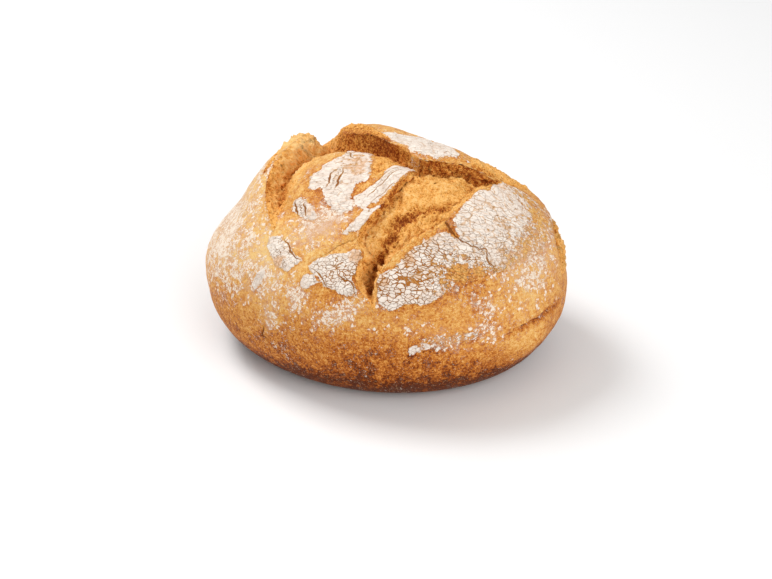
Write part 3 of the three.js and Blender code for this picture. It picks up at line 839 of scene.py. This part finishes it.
# Flakes: small plates of caked dust with gaps between them.
FLAKE_SIZE = 1.35
flake_cover = maths("MULTIPLY", maths("MINIMUM", dust, 1.0),
                    varied(0.36, (medium, 1.1), (broad, 0.6)))
flakes_on = step_between(maths("SUBTRACT", flake_cover, cell_pick(wobbled_map, FLAKE_SIZE)), 0, 0.08)
flake_gap = cells(wobbled_map, FLAKE_SIZE, "DISTANCE_TO_EDGE")
flakes = maths("MULTIPLY", flakes_on, step_between(flake_gap, 0.04, 0.12))
thin_share = step_between(varied(stored("thin"), (medium, 0.7), (patch_grain, 0.7)), 0.3, 0.8)
flecks = maths("MULTIPLY", maths("MAXIMUM", flecks, flakes),
               maths("SUBTRACT", 1.0, maths("MULTIPLY", thin_share, 0.75)))
in_patch = step_between(maths("ADD", stored("flour_edge"), medium), 1.0, 0.0)
split = maths("MAXIMUM", maths("MULTIPLY", tiles, in_patch), cracked)
whole = maths("SUBTRACT", 1.0, split)
thick = maths("MULTIPLY", thick, whole)
golden_crack = maths("MULTIPLY", maths("MULTIPLY", wavy, maths("MAXIMUM", in_patch, veil)), 0.6)
cake_colour = blend(medium, srgb(230, 211, 196), srgb(253, 245, 234))
cake_colour = blend(maths("MULTIPLY", grit, 0.25), cake_colour, srgb(206, 180, 156))
thin_colour = blend(fine, srgb(232, 200, 172), srgb(212, 164, 122))
cake_colour = blend(thin_share, cake_colour, thin_colour)
split_colour = blend(step_between(stored("crack_width"), 0.1, 0.3), srgb(184, 126, 58),
                     srgb(128, 70, 24))
split_colour = blend(tiles, split_colour, srgb(166, 100, 34))
outside = blend(maths("MULTIPLY", split, 0.9), crust_colour, split_colour)
extra_dust = maths("MAXIMUM", maths("SUBTRACT", dust, 1.0), 0.0)
veil_share = maths("ADD", 0.64, maths("MULTIPLY", extra_dust, 0.4))
outside = blend(maths("MULTIPLY", maths("MULTIPLY", veil, whole), veil_share), outside,
                srgb(212, 172, 144))
outside = blend(maths("MULTIPLY", maths("MULTIPLY", flecks, whole), 0.88), outside,
                srgb(244, 230, 212))
outside = blend(thick, outside, cake_colour)
outside = blend(golden_crack, outside, srgb(204, 150, 88))

# Crumb: pale gold on its ridges, orange lower down and red-brown in its pits and grooves, which is
# painted shade by height; red-brown also where toasted, partly painted shade under the overhangs.
# The toast, with its painted shade and painted light, darkens the crumb by this share.
TOAST_LIGHT_AND_SHADE_WEIGHT = 0.42
crumb_base = maths("SUBTRACT", stored("crumb_height_shade"),
                   maths("MULTIPLY", stored("toast_light_and_shade"), TOAST_LIGHT_AND_SHADE_WEIGHT))
crumb_light = varied(crumb_base, (medium, 0.2), (fine, 0.6), (grit, 0.6))
crumb_colour = tones(crumb_light, [
    (0.0, srgb(142, 66, 20)), (0.2, srgb(190, 108, 38)), (0.42, srgb(230, 160, 74)),
    (0.66, srgb(250, 186, 102)), (1.0, srgb(255, 206, 136))])
torn_noise = maths("MULTIPLY", maths("SUBTRACT", patch_grain, 0.5), 1.2)
is_crumb = step_between(maths("ADD", stored("torn_edge"), torn_noise), 0.25, -0.25)
surface_colour = blend(is_crumb, outside, crumb_colour)

# Fine relief, in mm: plates of flour stand proud, cracks sink, crumb is pitted.
crust_fine = maths("ADD", maths("MULTIPLY", fine, 0.10), maths("MULTIPLY", grit, 0.05))
outside_relief = maths("ADD", maths("MULTIPLY", thick, 0.08), crust_fine)
outside_relief = maths("ADD", outside_relief, maths("MULTIPLY", flecks, 0.04))
outside_relief = maths("SUBTRACT", outside_relief, maths("MULTIPLY", split, 0.2))
crumb_fine = maths("ADD", maths("MULTIPLY", fine, 0.3), maths("MULTIPLY", grit, 0.16))
relief_mix = node("ShaderNodeMix", {0: is_crumb, 2: outside_relief, 3: crumb_fine},
                  data_type="FLOAT").outputs[0]
bump = node("ShaderNodeBump", {"Strength": 1.0, "Distance": MM, "Height": relief_mix})
roughness = node("ShaderNodeMix", {0: thick, 2: 0.6, 3: 0.95}, data_type="FLOAT").outputs[0]
surface = node("ShaderNodeBsdfPrincipled", {
    "Base Color": surface_colour, "Roughness": roughness, "Normal": bump.outputs["Normal"]})
surface.inputs["Specular IOR Level"].default_value = 0.12
node("ShaderNodeOutputMaterial", {"Surface": surface.outputs["BSDF"]})
roll_mesh.materials.append(crust_look)

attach(roll, "root")
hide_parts("bread_roll")

# ---- The studio: floor, light and camera -------------------------------------------------------
# A plain white sweep, lit softly from the upper back left. A wide lamp at the front right and the
# white room fill the shadows.

# Half the floor's width, in metres.
FLOOR_REACH = 3.0
floor_mesh = bpy.data.meshes.new("floor")
floor_mesh.from_pydata([(x * FLOOR_REACH, y * FLOOR_REACH, float(roll_low[2]))
                        for x, y in ((-1, -1), (1, -1), (1, 1), (-1, 1))], [], [(0, 1, 2, 3)])
floor = bpy.data.objects.new("floor", floor_mesh)
bpy.context.scene.collection.objects.link(floor)
floor_look = bpy.data.materials.new("white_sweep")
floor_look.use_nodes = True
floor_surface = floor_look.node_tree.nodes["Principled BSDF"]
floor_surface.inputs["Base Color"].default_value = (0.9, 0.9, 0.9, 1)
floor_surface.inputs["Roughness"].default_value = 0.9
floor_mesh.materials.append(floor_look)

sky = bpy.data.worlds.new("white_room")
bpy.context.scene.world = sky
sky.use_nodes = True
sky.node_tree.nodes["Background"].inputs["Color"].default_value = (1, 1, 1, 1)
sky.node_tree.nodes["Background"].inputs["Strength"].default_value = 0.54


def soft_light(name, position, size, power):
    """A square lamp of that size and power in watts at a position in metres, facing the roll."""
    lamp = bpy.data.lights.new(name, "AREA")
    lamp.size = size
    lamp.energy = power
    lamp_object = bpy.data.objects.new(name, lamp)
    lamp_object.location = position
    lamp_object.rotation_euler = Vector(position).to_track_quat("Z", "Y").to_euler()
    bpy.context.scene.collection.objects.link(lamp_object)


soft_light("key", (-0.34, 0.22, 0.62), 0.3, 3.3)
soft_light("front_fill", (0.35, -0.55, 0.40), 0.6, 2.8)

# The camera looks down on the roll from the front, with a long lens. Its aim, in metres, is moved
# as the roll's points were.
CAMERA_AIM = (0.002, -0.0254, 0.0314)
CAMERA_ELEVATION = math.radians(32)
CAMERA_LENS = 95.0
CAMERA_DISTANCE = 0.657
aim = Vector(CAMERA_AIM) - Vector((*(own_middle[:2] * MM), 0))
back = Vector((0, -math.cos(CAMERA_ELEVATION), math.sin(CAMERA_ELEVATION)))
camera_data = bpy.data.cameras.new("camera")
camera_data.lens = CAMERA_LENS
camera_data.sensor_width = 36.0
camera = bpy.data.objects.new("camera", camera_data)
camera.location = aim + back * CAMERA_DISTANCE
camera.rotation_euler = back.to_track_quat("Z", "Y").to_euler()
bpy.context.scene.collection.objects.link(camera)
bpy.context.scene.camera = camera
bpy.context.scene.view_settings.view_transform = "Standard"
